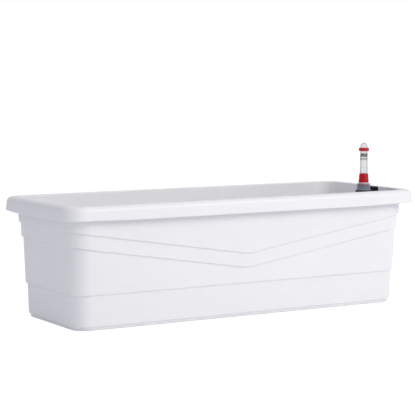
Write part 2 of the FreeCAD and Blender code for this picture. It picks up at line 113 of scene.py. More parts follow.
def plastic(name, base, *, rough, vary, grain, peel, wear_and_highlight, edge, grain_depth=0.02, peel_depth=0.03,
            wear_and_highlight_tint=1.12, sss=0.0, coat=0.0, spec=0.5, dust=0.0, flow=0.0, speck=0.0,
            alpha=None, alpha_edge=None, fade=None, painted_cavity_shade=0.0, painted_limb_shade=0.0):
    """Moulded plastic.

    vary: cloudy colour variation. grain, peel: noise scales of the fine grain and the orange
    peel, with bump depths in mm. wear_and_highlight, wear_and_highlight_tint, edge: strength,
    tint and radius (mm) of edges made lighter, part wear and part painted edge highlight.
    sss: subsurface weight. dust: on faces that look up. flow: faint stretched streaks.
    speck: dark specks. alpha, alpha_edge: opacity face on and side on. fade: (low z, high z,
    share of opacity left at the top). painted_cavity_shade: painted shade, darker in hollows
    and creases. painted_limb_shade: painted shade, darker where the surface is seen side on.
    """
    material = bpy.data.materials.new(name)
    g = Graph(material)
    position = g.add("TexCoord", output="Object")
    normal = g.add("NewGeometry", output="Normal")
    cloud = g.noise(position, scale=14.0, detail=4.0, rough=0.55)
    mottle = g.noise(position, scale=95.0, detail=3.0, rough=0.6)
    fine = g.noise(position, scale=grain, detail=2.0, rough=0.6)
    orange = g.noise(position, scale=peel, detail=2.0, rough=0.4)

    # cloudy base colour
    tone = g.math("ADD", g.math("MULTIPLY", cloud, 0.65), g.math("MULTIPLY", mottle, 0.35))
    colour = g.mix(g.remap(tone, (0.35, 0.65), (0.0, 1.0)),
                   shade(base, 1 - vary), shade(base, 1 + vary))
    if flow:
        lines = g.noise(position, scale=60.0, detail=3.0, rough=0.6, stretch=(0.12, 0.12, 2.2))
        colour = g.mix(g.remap(lines, (0.4, 0.7), (0.0, flow)), colour, shade(base, 0.93))
    if speck:
        cell = g.add("TexVoronoi", {"Scale": 420.0, "Vector": position}, output="Distance")
        colour = g.mix(g.remap(cell, (0.02, 0.10), (speck, 0.0)), colour, shade(base, 0.4))

    # edges made lighter, part wear and part painted highlight: where the bevelled normal leaves
    # the true one, broken up by the mottle
    bevelled = g.add("Bevel", {"Radius": edge * MM}, samples=4)
    match = g.add("VectorMath", {0: bevelled, 1: normal}, output="Value", operation="DOT_PRODUCT")
    wear_and_highlight_mask = g.math("MULTIPLY", g.remap(match, (0.995, 0.86), (0.0, 1.0)),
                  g.remap(mottle, (0.35, 0.6), (0.2, 1.0)))
    colour = g.mix(g.math("MULTIPLY", wear_and_highlight_mask, wear_and_highlight), colour, shade(base, wear_and_highlight_tint, lift=0.01))
    if painted_cavity_shade:
        # painted shade: darker in hollows and creases, from ambient occlusion over 4 mm
        openness = g.add("AmbientOcclusion", {"Distance": 4.0 * MM}, output="AO", samples=6)
        colour = g.mix(g.remap(openness, (0.35, 0.9), (painted_cavity_shade, 0.0)), colour, shade(base, 0.45))
    if painted_limb_shade:
        # painted shade: darker towards the outline, where the surface is seen side on
        facing = g.add("LayerWeight", {"Blend": 0.5}, output="Facing")
        colour = g.mix(g.remap(facing, (0.35, 0.95), (0.0, painted_limb_shade)), colour, shade(base, 0.25))
    if dust:
        up = g.remap(g.add("SeparateXYZ", {0: normal}, output="Z"), (0.5, 0.98), (0.0, dust))
        up = g.math("MULTIPLY", up, g.remap(mottle, (0.3, 0.7), (0.3, 1.0)))
        colour = g.mix(up, colour, DUST_COLOUR)

    # roughness follows the mottle and rises on worn edges
    roughness = g.math("ADD", g.remap(mottle, (0.3, 0.7), (rough - 0.05, rough + 0.06)),
                       g.math("MULTIPLY", wear_and_highlight_mask, 0.05))
    peeled = g.bump(orange, peel_depth, bevelled)
    inputs = {
        "Base Color": colour,
        "Roughness": roughness,
        "Normal": g.bump(fine, grain_depth, peeled),
        "Specular IOR Level": spec,
        "IOR": 1.5,
    }
    if sss:
        inputs["Subsurface Weight"] = sss
        inputs["Subsurface Radius"] = (0.004, 0.0038, 0.0034)
        inputs["Subsurface Scale"] = 0.5
    if coat:
        inputs["Coat Weight"] = coat
        inputs["Coat Roughness"] = 0.12
    if alpha is not None:
        facing = g.add("LayerWeight", {"Blend": 0.5}, output="Facing")
        opacity = g.remap(facing, (0.25, 0.92), (alpha, alpha_edge))
        if fade:
            low, high, left = fade
            height = g.add("SeparateXYZ", {0: position}, output="Z")
            opacity = g.math("MULTIPLY", opacity,
                             g.remap(height, (low * MM, high * MM), (1.0, left)))
        inputs["Alpha"] = opacity
    g.node("OutputMaterial", {"Surface": g.add("BsdfPrincipled", inputs)})
    material.diffuse_color = (*base, 1.0 if alpha is None else alpha)
    return material


def drawn_wire(name, base, rough):
    """Metal with fine scratches along Y."""
    material = bpy.data.materials.new(name)
    g = Graph(material, clear=False)
    position = g.add("TexCoord", output="Object")
    scratch = g.noise(position, scale=2600.0, detail=3.0, rough=0.7, stretch=(1.0, 0.03, 1.0))
    inputs = {
        "Base Color": g.mix(scratch, shade(base, 0.85), shade(base, 1.1)),
        "Roughness": g.remap(scratch, (0.3, 0.7), (rough - 0.08, rough + 0.15)),
        "Metallic": 1.0,
        "Normal": g.add("Bump", {"Distance": 0.01 * MM, "Height": scratch}),
    }
    bsdf = g.tree.nodes["Principled BSDF"]
    for key, value in inputs.items():
        g.feed(bsdf.inputs[key], value)
    material.diffuse_color = (*base, 1)
    return material


# white trough plastic, with painted shade in its hollows and creases
WHITE = plastic(
    "white_polypropylene", (0.91, 0.91, 0.935), rough=0.34, vary=0.012, grain=1500,
    grain_depth=0.006, peel=230, peel_depth=0.010, wear_and_highlight=0.5, wear_and_highlight_tint=1.06, edge=0.5,
    sss=0.12, flow=0.12, painted_cavity_shade=0.45)
GREY = plastic(
    "light_grey_polypropylene", (0.84, 0.84, 0.85), rough=0.5, vary=0.05, grain=1300,
    grain_depth=0.03, peel=300, peel_depth=0.02, wear_and_highlight=0.5, wear_and_highlight_tint=1.3, edge=0.4,
    dust=0.10, speck=0.25)
BLACK = plastic(
    "black_abs", (0.0045, 0.0048, 0.0055), rough=0.42, vary=0.12, grain=1600,
    grain_depth=0.012, peel=320, peel_depth=0.012, wear_and_highlight=0.3, wear_and_highlight_tint=1.8, edge=0.3, spec=0.22)
SMOKE = plastic(
    "smoke_grey_styrene", (0.29, 0.31, 0.395), rough=0.2, vary=0.06, grain=1800,
    grain_depth=0.006, peel=380, peel_depth=0.02, wear_and_highlight=0.6, wear_and_highlight_tint=1.5, edge=0.3,
    alpha=0.72, alpha_edge=0.95, coat=0.3, fade=(177.0, 182.9, 0.30))
# red plastic, with painted shade towards the outline of each red part
RED = plastic(
    "signal_red_styrene", (0.60, 0.003, 0.010), rough=0.26, vary=0.10, grain=1800,
    grain_depth=0.006, peel=420, peel_depth=0.012, wear_and_highlight=0.2, wear_and_highlight_tint=1.15, edge=0.3,
    spec=0.35, flow=0.25, painted_limb_shade=0.75)
CLEAR = plastic(
    "clear_styrene", (0.62, 0.62, 0.66), rough=0.08, vary=0.03, grain=1500,
    grain_depth=0.003, peel=260, peel_depth=0.008, wear_and_highlight=0.3, wear_and_highlight_tint=1.3, edge=0.2,
    alpha=0.15, alpha_edge=0.80, coat=0.3)
NECK = plastic(
    "pale_neck_styrene", (0.95, 0.70, 0.71), rough=0.25, vary=0.05, grain=1800,
    grain_depth=0.005, peel=420, peel_depth=0.01, wear_and_highlight=0.3, edge=0.2, sss=0.2)
ROD = plastic(
    "red_rod_plastic", (0.50, 0.015, 0.025), rough=0.3, vary=0.06, grain=1500,
    grain_depth=0.01, peel=500, peel_depth=0.01, wear_and_highlight=0.3, edge=0.2, sss=0.1)
FLOAT = plastic(
    "float_plastic", (0.72, 0.73, 0.74), rough=0.45, vary=0.03, grain=1400,
    grain_depth=0.015, peel=400, peel_depth=0.02, wear_and_highlight=0.3, edge=0.3, sss=0.15, flow=0.3)
SEAL = plastic(
    "seal_rubber", (0.014, 0.014, 0.014), rough=0.62, vary=0.2, grain=2200,
    grain_depth=0.02, peel=500, peel_depth=0.02, wear_and_highlight=0.3, wear_and_highlight_tint=2.0, edge=0.2)
PIN = drawn_wire("blackened_steel_pin", (0.035, 0.036, 0.04), rough=0.42)
INK_FINISH = dict(rough=0.5, vary=0.2, wear_and_highlight=0.2, edge=0.05, grain=2500, peel=900)
INK = plastic("gauge_print_ink", (0.006, 0.006, 0.007), wear_and_highlight_tint=4.0, **INK_FINISH)
INK_GREY = plastic("gauge_print_ink_grey", (0.12, 0.12, 0.13), wear_and_highlight_tint=1.6, **INK_FINISH)


# ---------------------------------------------------------------- mesh helpers
FILLET_STEP = 18.0  # largest turn of one fillet segment, degrees


def place(name, data):
    ob = bpy.data.objects.new(name, data)
    scene.collection.objects.link(ob)
    return ob


def make_piece(name, bm, material, body, replaces=None, smooth=True):
    """Turn the bmesh into an object that rides a body of the frame."""
    mesh = bpy.data.meshes.new(name)
    bm.normal_update()
    bm.to_mesh(mesh)
    bm.free()
    ob = place(name, mesh)
    mesh.materials.append(material)
    if smooth:
        for face in mesh.polygons:
            face.use_smooth = True
        weighted = ob.modifiers.new("weighted", "WEIGHTED_NORMAL")
        weighted.mode = "FACE_AREA"
        weighted.weight = 60
        weighted.keep_sharp = False
    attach(ob, body)
    if replaces:
        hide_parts(replaces)


def fillet(before, corner, after, radius):
    """Points of the arc that rounds one corner, or the corner itself if almost straight."""
    middle = Vector(corner)
    arriving, leaving = middle - Vector(before), Vector(after) - middle
    length_in, length_out = arriving.length, leaving.length
    arriving, leaving = arriving / length_in, leaving / length_out
    turn = math.acos(max(-1.0, min(1.0, arriving.dot(leaving))))
    if turn < math.radians(3):
        return [corner]
    # each fillet takes less than half of either neighbouring edge
    setback = min(radius * math.tan(turn / 2), 0.48 * length_in, 0.48 * length_out)
    radius = setback / math.tan(turn / 2)
    side = 1.0 if arriving.x * leaving.y - arriving.y * leaving.x > 0 else -1.0
    start = middle - arriving * setback
    centre = start + Vector((-arriving.y, arriving.x)) * side * radius
    spoke = start - centre
    count = max(2, math.ceil(math.degrees(turn) / FILLET_STEP))
    points = []
    for i in range(count + 1):
        angle = side * turn * i / count
        c, s = math.cos(angle), math.sin(angle)
        points.append((centre.x + spoke.x * c - spoke.y * s, centre.y + spoke.x * s + spoke.y * c))
    return points


def round_corners(profile, closed):
    """Polyline of (a, b, corner radius) with its corners rounded."""
    count = len(profile)
    points = []
    for i, (a, b, radius) in enumerate(profile):
        if radius <= 0 or (not closed and i in (0, count - 1)):
            points.append((a, b))
        else:
            points += fillet(profile[i - 1][:2], (a, b), profile[(i + 1) % count][:2], radius)
    return points


def circle(cx, cy, radius, z, seg=48):
    turns = [2 * math.pi * i / seg for i in range(seg)]
    return [Vector((cx + radius * math.cos(t), cy + radius * math.sin(t), z)) * MM for t in turns]


def lathe(bm, profile, cx, cy, seg, closed):
    """Turn (radius, z) points about a vertical axis. Points on the axis become poles."""
    rings = []
    for radius, z in profile:
        if radius < 1e-6:
            rings.append([bm.verts.new((cx * MM, cy * MM, z * MM))])
        else:
            rings.append([bm.verts.new(p) for p in circle(cx, cy, radius, z, seg)])
    for k in range(len(rings) if closed else len(rings) - 1):
        a, b = rings[k], rings[(k + 1) % len(rings)]
        if len(a) == 1 and len(b) == 1:
            continue
        for i in range(seg):
            j = (i + 1) % seg
            if len(a) == 1:
                bm.faces.new((a[0], b[j], b[i]))
            elif len(b) == 1:
                bm.faces.new((a[i], a[j], b[0]))
            else:
                bm.faces.new((a[i], a[j], b[j], b[i]))
    return rings


def bridge(bm, a, b):
    """Quads between two closed loops of equal length."""
    for i in range(len(a)):
        j = (i + 1) % len(a)
        bm.faces.new((a[i], a[j], b[j], b[i]))


def skin(bm, rows, closed=False):
    """Quads between successive closed loops of points."""
    rings = [[bm.verts.new(p) for p in row] for row in rows]
    for k in range(len(rings) if closed else len(rings) - 1):
        bridge(bm, rings[k], rings[(k + 1) % len(rings)])
    return rings


def skin_capped(bm, rows):
    rings = skin(bm, rows)
    bm.faces.new(rings[0])
    bm.faces.new(list(reversed(rings[-1])))


def flat_with_holes(bm, outer, holes):
    """Flat face in triangles between an outer loop and the loops inside it."""
    edges = []
    for loop in [outer] + holes:
        for i in range(len(loop)):
            pair = (loop[i], loop[(i + 1) % len(loop)])
            edges.append(bm.edges.get(pair) or bm.edges.new(pair))
    bmesh.ops.triangle_fill(bm, use_beauty=True, edges=edges)


# ------------------------------------------------------------------ the trough
HALF_LENGTH, HALF_DEPTH, TOP = 300.0, 115.3, 175.0
WALL = 2.4
DRAFT = 0.03            # inward lean of the walls per mm of height
WALL_INSET = 14.4       # upper wall behind the rim's outline, at DRAFT_Z
DRAFT_Z = 150.0
# extra inset of each lower band of the wall
STEP_VEE, STEP_MIDDLE, STEP_LOW, STEP_FOOT = 2.4, 4.8, 7.2, 9.5
# two shallow vee lines cross the walls, lowest at mid length with a rounded bottom
VEE_SLOPE, VEE_HIGH_Z, VEE_LOW_Z, VEE_RADIUS = 0.160, 93.2, 72.2, 60.0
BAND_Z, FOOT_Z, FLOOR_Z = 49.4, 4.6, 5.0
FOOT_RING_INSET = 32.4  # inner edge of the foot ring
RECESS_Z = 2.0          # ceiling of the recess under the floor
LEDGE_CORNER = 0.3
# rim: a leaning skirt outside, a rolled edge and a flat top
RIM_Z, SKIRT, RIM_ROLL, RIM_CORNER = 154.2, 2.2, 8.0, 30.0
SKIRT_LEAN = 2.4 / (TOP - RIM_Z)
SKIRT_EDGE = 1.05       # rounding of the skirt's lower edge
SKIRT_LIFT = 1.3        # rise of that edge at the corners
HOLLOW_Z, HOLLOW_RIB_Z = TOP - 2.6, RIM_Z + 5.0  # ceiling behind the skirt, clear and on a rib
RIM_INNER = 1.2         # rounding of the rim's inner edge
# ribs in the hollow behind the skirt
RIM_RIBS_X = (0, 78, 156, 234, -78, -156, -234)
RIM_RIBS_Y = (-38, 38)
RIM_RIB_HIT = 0.9       # stations this near a rib's middle lie on it
# ribs across the recess under the floor
FLOOR_RIBS_X, FLOOR_RIB_HALF = (-195, -65, 65, 195), 1.2
CORNER_SEG = 16
NOTCH_RADIUS = 4.8      # thumb notch in the inner edge of the back rim
DRAIN_X, DRAIN_Y = -130.0, 0.0
# (radius, z, corner radius) from the trough floor over the collar down to the recess
DRAIN_COLLAR = [
    (13.0, FLOOR_Z, 0), (11.0, FLOOR_Z, 1.2), (11.0, 14.0, 0.7), (8.0, 14.0, 0.6),
    (8.0, RECESS_Z, 0.4), (9.5, RECESS_Z, 0),
]

# A place round the plan. On a straight side, at is x or y; on a corner it is an angle in degrees.
Station = namedtuple("Station", "side at corner", defaults=(None,))
# signs of x and y for corners 0 to 3, counter-clockwise from the front right
CORNER_SIGNS = ((1, -1), (1, 1), (-1, 1), (-1, -1))


def wall_inset(step, z):
    return WALL_INSET + step + (DRAFT_Z - z) * DRAFT


def wall_corner(inset):
    """Plan corner radius of the outer wall."""
    return 34.0 - 0.4 * inset


def inner_corner(inset):
    return wall_corner(inset - WALL) - WALL


def rim_corner(inset):
    return RIM_CORNER - inset


def corner_blend(inset0, radius0, inset1, radius1):
    """Corner radius that runs evenly between two insets."""
    return lambda inset: radius0 + (radius1 - radius0) * (inset - inset0) / (inset1 - inset0)


def vee_z(x, base_z):
    angle = math.atan(VEE_SLOPE)
    if abs(x) >= VEE_RADIUS * math.sin(angle):
        return base_z + VEE_SLOPE * abs(x)
    return base_z + VEE_RADIUS / math.cos(angle) - math.sqrt(VEE_RADIUS * VEE_RADIUS - x * x)


def arc(inset, z, radius, start, end, count):
    """Points (inset, z) of an arc about a centre, angles in degrees."""
    turns = [math.radians(start + (end - start) * i / count) for i in range(count + 1)]
    return [(inset + radius * math.cos(t), z + radius * math.sin(t)) for t in turns]


def with_rib(places, centre, reach, offsets):
    """Swap the places close to a rib for ones that follow its sides."""
    kept = {p for p in places if not (0.3 < abs(p - centre) < reach)}
    return kept | {centre + offset for offset in offsets}


def trough_stations():
    """Stations round the plan, counter-clockwise from the front left."""
    xs = {*range(-240, 241, 8), -246.0, 246.0}
    xs |= {*range(-14, 15)} | {k * 0.5 for k in range(-10, 11)}
    for rib in RIM_RIBS_X:
        xs = with_rib(xs, rib, 1.6, (-1.15, -0.8, -0.4, 0.4, 0.8, 1.15))
    for rib in FLOOR_RIBS_X:
        xs = with_rib(xs, rib, 2.0, (-FLOOR_RIB_HALF, FLOOR_RIB_HALF))
    ys = {*range(-56, 57, 8)}
    for rib in RIM_RIBS_Y:
        ys = with_rib(ys, rib, 1.6, (-1.15, -0.8, 0.8, 1.15))
    xs, ys = sorted(xs), sorted(ys)
    sides = (("front", xs), ("right", ys), ("back", xs[::-1]), ("left", ys[::-1]))
    stations = []
    for corner, (side, places) in enumerate(sides):
        stations += [Station(side, place_at) for place_at in places]
        stations += [Station("corner", 90.0 * i / CORNER_SEG + 90 * (corner - 1), corner)
                     for i in range(CORNER_SEG + 1)]
    return stations


def plan_point(station, inset, radius):
    """x, y of a station on the outline moved in by the inset."""
    half_x, half_y = HALF_LENGTH - inset, HALF_DEPTH - inset
    if station.side == "front":
        return station.at, -half_y
    if station.side == "back":
        return station.at, half_y
    if station.side == "right":
        return half_x, station.at
    if station.side == "left":
        return -half_x, station.at
    sign_x, sign_y = CORNER_SIGNS[station.corner]
    angle = math.radians(station.at)
    return (sign_x * (half_x - radius) + radius * math.cos(angle),
            sign_y * (half_y - radius) + radius * math.sin(angle))


def on_rim_rib(station):
    if station.side == "corner":
        return False
    ribs = RIM_RIBS_X if station.side in ("front", "back") else RIM_RIBS_Y
    return any(abs(station.at - rib) < RIM_RIB_HIT for rib in ribs)


def skirt_lift(station):
    """The skirt's lower edge sweeps up a little towards the corners."""
    if station.side == "corner":
        return SKIRT_LIFT
    long_side = station.side in ("front", "back")
    half, run = (HALF_LENGTH, 80.0) if long_side else (HALF_DEPTH, 30.0)
    share = 1.0 - min(1.0, (half - RIM_CORNER - abs(station.at)) / run)
    return SKIRT_LIFT * (0.5 - 0.5 * math.cos(math.pi * share))


def trough_section(station):
    """Points (inset, z, plan corner radius) at one station: from under the foot, up the
    outside, over the rim and down inside to the floor."""
    points = []

    def trace(pairs, corner=wall_corner):
        points.extend((inset, z, corner(inset)) for inset, z in pairs)

    def find_vee(step, base_z):
        """Height of a vee line; the wall's draft ties it to its own x, so repeat."""
        z = base_z + 30
        for _ in range(3):
            inset = wall_inset(step, z)
            z = vee_z(plan_point(station, inset, wall_corner(inset))[0], base_z)
        return z

    def ledge(low_step, high_step, z, radius):
        """Outside, going up: the wall steps out, with a rounded lower edge."""
        low, high = wall_inset(low_step, z), wall_inset(high_step, z)
        trace(arc(low - LEDGE_CORNER, z - LEDGE_CORNER, LEDGE_CORNER, 0, 90, 2))
        trace(arc(high + radius, z + radius, radius, -90, -180, 5))

    def shelf(high_step, low_step, z, radius, count):
        """Inside, going down: the wall steps in, with a fillet above and a rounded lip."""
        lip = 0.5
        high, low = wall_inset(high_step, z) + WALL, wall_inset(low_step, z) + WALL
        trace(arc(high + radius, z + radius, radius, 180, 270, count), inner_corner)
        trace(arc(low - lip, z - lip, lip, 90, 0, 3), inner_corner)

    vee_high = find_vee(0.0, VEE_HIGH_Z)
    vee_low = find_vee(STEP_VEE, VEE_LOW_Z)

    # foot ring
    trace([(FOOT_RING_INSET, 0.6), (FOOT_RING_INSET, 0.35)])
    trace(arc(FOOT_RING_INSET - 0.35, 0.35, 0.35, 0, -90, 2)[1:])
    trace(arc(wall_inset(STEP_FOOT, 0.0) + 1.0, 1.0, 1.0, -90, -180, 4))

    # outer wall, each band standing out over the one below
    ledge(STEP_FOOT, STEP_LOW, FOOT_Z, 1.9)
    trace([(wall_inset(STEP_LOW, z), z) for z in (14.0, 26.0, 38.0)])
    ledge(STEP_LOW, STEP_MIDDLE, BAND_Z, 1.9)
    for share in (0.25, 0.5, 0.75):
        z = BAND_Z + 2 + (vee_low - BAND_Z - 4) * share
        trace([(wall_inset(STEP_MIDDLE, z), z)])
    ledge(STEP_MIDDLE, STEP_VEE, vee_low, 1.5)
    z = (vee_low + vee_high) / 2
    trace([(wall_inset(STEP_VEE, z), z)])
    ledge(STEP_VEE, 0.0, vee_high, 1.5)
    ribbed = on_rim_rib(station)
    ceiling = HOLLOW_RIB_Z if ribbed else HOLLOW_Z
    for share in (0.33, 0.66):
        z = vee_high + 1 + (min(ceiling, 160) - vee_high - 3) * share
        trace([(wall_inset(0, z), z)])

    # hollow behind the rim skirt
    back = wall_inset(0.0, ceiling)
    back_round = 0.8
    front_round = 0.8 if ribbed else RIM_ROLL - SKIRT
    front = SKIRT + (ceiling - front_round - RIM_Z) * SKIRT_LEAN
    hollow = corner_blend(front, rim_corner(front), back, wall_corner(back))
    trace([(back, ceiling - back_round)])
    trace(arc(back - back_round, ceiling - back_round, back_round, 0, 90, 2)[1:], hollow)
    trace([((back - back_round + front + front_round) * 0.5, ceiling)], hollow)
    trace(arc(front + front_round, ceiling - front_round, front_round, 90, 180, 5), hollow)

    # skirt: inner face, lower edge, outer face
    edge_z = RIM_Z + SKIRT_EDGE + skirt_lift(station)
    trace([(SKIRT + (edge_z + 1.5 - RIM_Z) * SKIRT_LEAN, edge_z + 1.5)], rim_corner)
    trace(arc(SKIRT - SKIRT_EDGE + 0.1, edge_z, SKIRT_EDGE, 0, -90, 3), rim_corner)
    trace(arc(SKIRT_EDGE + 0.1, edge_z, SKIRT_EDGE, -90, -180, 3), rim_corner)
    trace([((z - RIM_Z) * SKIRT_LEAN, z) for z in (158.0, 162.0, 165.5)], rim_corner)

    # rolled top edge, tangent to the leaning skirt
    tilt = math.degrees(math.atan(SKIRT_LEAN))
    roll_z = TOP - RIM_ROLL
    roll = (roll_z - RIM_Z) * SKIRT_LEAN + RIM_ROLL / math.cos(math.radians(tilt))
    trace(arc(roll, roll_z, RIM_ROLL, 180 - tilt, 90, 12), rim_corner)

    # flat of the rim to its inner edge
    inner = wall_inset(0.0, TOP) + WALL
    flat = corner_blend(roll, rim_corner(roll), inner, inner_corner(inner))
    count = 12
    for i in range(1, count):
        trace([(roll + (inner - RIM_INNER - roll) * i / count, TOP)], flat)
    trace(arc(inner - RIM_INNER, TOP - RIM_INNER, RIM_INNER, 90, 0, 4), flat)

    # inner wall down to the floor
    for z in (173.2, 172.6, 172.0, 168.0, 160.0):
        trace([(wall_inset(0.0, z) + WALL, z)], inner_corner)
    shelf(0.0, STEP_VEE, vee_high + WALL, 0.9, 4)
    z = (vee_high + vee_low) / 2 + WALL
    trace([(wall_inset(STEP_VEE, z) + WALL, z)], inner_corner)
    shelf(STEP_VEE, STEP_MIDDLE, vee_low + WALL, 0.9, 4)
    z = (vee_low + BAND_Z) / 2 + WALL
    trace([(wall_inset(STEP_MIDDLE, z) + WALL, z)], inner_corner)
    shelf(STEP_MIDDLE, STEP_LOW, BAND_Z + WALL, 0.5, 2)
    for z in (36.0, 20.0):
        trace([(wall_inset(STEP_LOW, z) + WALL, z)], inner_corner)
    floor_round = 2.0
    trace(arc(wall_inset(STEP_LOW, FLOOR_Z) + WALL + floor_round, FLOOR_Z + floor_round,
              floor_round, 180, 270, 5), inner_corner)
    return points


def build_underside(bm, stations, foot, collar):
    """Recess under the floor: the undersides of the cross ribs and the cells between them.
    foot is the inner loop of the foot ring, collar the lower ring of the drain."""
    def find(side, x):
        return next(j for j, s in enumerate(stations) if s.side == side and abs(s.at - x) < 1e-6)

    rib_faces = [x + s * FLOOR_RIB_HALF for x in FLOOR_RIBS_X for s in (-1, 1)]
    front = [find("front", x) for x in rib_faces]
    back = [find("back", x) for x in rib_faces]
    for k in range(0, len(rib_faces), 2):
        bm.faces.new((foot[front[k]], foot[back[k]], foot[back[k + 1]], foot[front[k + 1]]))

    # station numbers round each cell, from the left end to the right end
    cells = [[*range(back[0], len(stations)), *range(front[0] + 1)]]
    for k in range(1, len(rib_faces) - 1, 2):
        cells.append([*range(front[k], front[k + 1] + 1), *range(back[k + 1], back[k] + 1)])
    cells.append([*range(front[-1], back[-1] + 1)])

    ceiling = {}

    def above(j):
        if j not in ceiling:
            co = foot[j].co
            ceiling[j] = bm.verts.new((co.x, co.y, RECESS_Z * MM))
        return ceiling[j]

    for cell in cells:
        for a, b in zip(cell, cell[1:] + cell[:1]):
            bm.faces.new((foot[a], above(a), above(b), foot[b]))
    for cell in cells:
        loop = [above(j) for j in cell]
        xs = [v.co.x for v in loop]
        if min(xs) < DRAIN_X * MM < max(xs):
            flat_with_holes(bm, loop, [collar])
        else:
            bm.faces.new(loop)


def build_trough():
    bm = bmesh.new()
    stations = trough_stations()
    notch = Vector((0.0, HALF_DEPTH - wall_inset(0.0, TOP) - WALL + 0.5, TOP + 2.2))
    grid = []
    for station in stations:
        column = []
        for inset, z, radius in trough_section(station):
            point = Vector((*plan_point(station, inset, radius), z))
            away = point - notch
            if station.side == "back" and away.length < NOTCH_RADIUS and z > 170:
                point = notch + away.normalized() * NOTCH_RADIUS
            column.append(bm.verts.new(point * MM))
        grid.append(column)
    for a, b in zip(grid, grid[1:] + grid[:1]):
        for k in range(len(a) - 1):
            bm.faces.new((a[k], b[k], b[k + 1], a[k + 1]))
    profile = round_corners(DRAIN_COLLAR, closed=False)
    collar = lathe(bm, profile, DRAIN_X, DRAIN_Y, seg=48, closed=False)
    flat_with_holes(bm, [column[-1] for column in grid], [collar[0]])
    build_underside(bm, stations, [column[0] for column in grid], collar[-1])
    bmesh.ops.remove_doubles(bm, verts=bm.verts, dist=1e-7)
    bmesh.ops.recalc_face_normals(bm, faces=bm.faces)
    return bm


make_piece("trough_shell", build_trough(), WHITE, "trough", "trough")

# --------------------------------------------------------- the gauge and float
GAUGE_X, GAUGE_Y = 242.5, -48.0
EDGE = 0.35
# clear tube: tapered, with a domed top
TUBE_LOW_Z, TUBE_LOW_RADIUS = 183.2, 6.35
TUBE_HIGH_Z, TUBE_HIGH_RADIUS = 233.0, 5.75
TUBE_WALL = 1.0
DOME_Z, DOME_RADIUS, DOME_SEG = 240.5, 5.6, 12
INK_LOW, INK_HIGH = 0.012, 0.06  # print stands off the tube between these
PRINT_FACE = -126.0              # direction the print faces, degrees from +X


def turned(name, material, body, replaces, seg, profile, closed=True):
    """Piece turned about the gauge axis from (radius, z, corner radius) points."""
    bm = bmesh.new()
    lathe(bm, round_corners(profile, closed), GAUGE_X, GAUGE_Y, seg, closed)
    bmesh.ops.recalc_face_normals(bm, faces=bm.faces)
    make_piece(name, bm, material, body, replaces)


def tube_radius(z):
    share = (z - TUBE_LOW_Z) / (TUBE_HIGH_Z - TUBE_LOW_Z)
    return TUBE_LOW_RADIUS + (TUBE_HIGH_RADIUS - TUBE_LOW_RADIUS) * share


def tube_profile():
    """Up the outside, over the dome, and down the inside."""
    def dome(radius):
        turns = [math.pi / 2 * i / DOME_SEG for i in range(DOME_SEG + 1)]
        return [(radius * math.cos(t), DOME_Z + radius * math.sin(t), 0) for t in turns]

    return [
        (TUBE_LOW_RADIUS, TUBE_LOW_Z, 0.3),
        *[(tube_radius(z), z, 0) for z in (197.0, 206.0, 215.0, 224.0)],
        (TUBE_HIGH_RADIUS, TUBE_HIGH_Z, 0), (5.7, 238.2, 0),
        *dome(DOME_RADIUS), *reversed(dome(DOME_RADIUS - TUBE_WALL)),
        (TUBE_HIGH_RADIUS - TUBE_WALL, TUBE_HIGH_Z, 0),
        *[(tube_radius(z) - TUBE_WALL, z, 0) for z in (215.0, 197.0)],
        (TUBE_LOW_RADIUS - TUBE_WALL, TUBE_LOW_Z, 0.3),
    ]


def print_marks(name, material, bottom, height, marks):
    """Thin printed patches round the tube. marks: (angle in degrees from PRINT_FACE, width,
    sideways lean from bottom to top)."""
    bm = bmesh.new()
    radius = tube_radius(bottom + height / 2)
    for middle, width, lean in marks:
        count = max(2, int(width / 0.35))
        rows = []
        for rise in (0, 1):
            z = bottom + rise * height
            row = []
            for i in range(count + 1):
                along = width * (i / count - 0.5) + lean * (rise - 0.5)
                angle = math.radians(PRINT_FACE + middle) + along / radius
                pair = []
                for gap in (INK_LOW, INK_HIGH):
                    reach = tube_radius(z) + gap
                    x = GAUGE_X + reach * math.cos(angle)
                    y = GAUGE_Y + reach * math.sin(angle)
                    pair.append(bm.verts.new((x * MM, y * MM, z * MM)))
                row.append(pair)
            rows.append(row)
        low, high = rows
        for i in range(count):
            j = i + 1
            bm.faces.new((low[i][1], low[j][1], high[j][1], high[i][1]))
            bm.faces.new((low[j][0], low[i][0], high[i][0], high[j][0]))
            bm.faces.new((low[i][0], low[j][0], low[j][1], low[i][1]))
            bm.faces.new((high[i][1], high[j][1], high[j][0], high[i][0]))
        bm.faces.new((low[0][0], low[0][1], high[0][1], high[0][0]))
        bm.faces.new((low[-1][1], low[-1][0], high[-1][0], high[-1][1]))
    bmesh.ops.recalc_face_normals(bm, faces=bm.faces)
    make_piece(name, bm, material, "gauge", smooth=False)


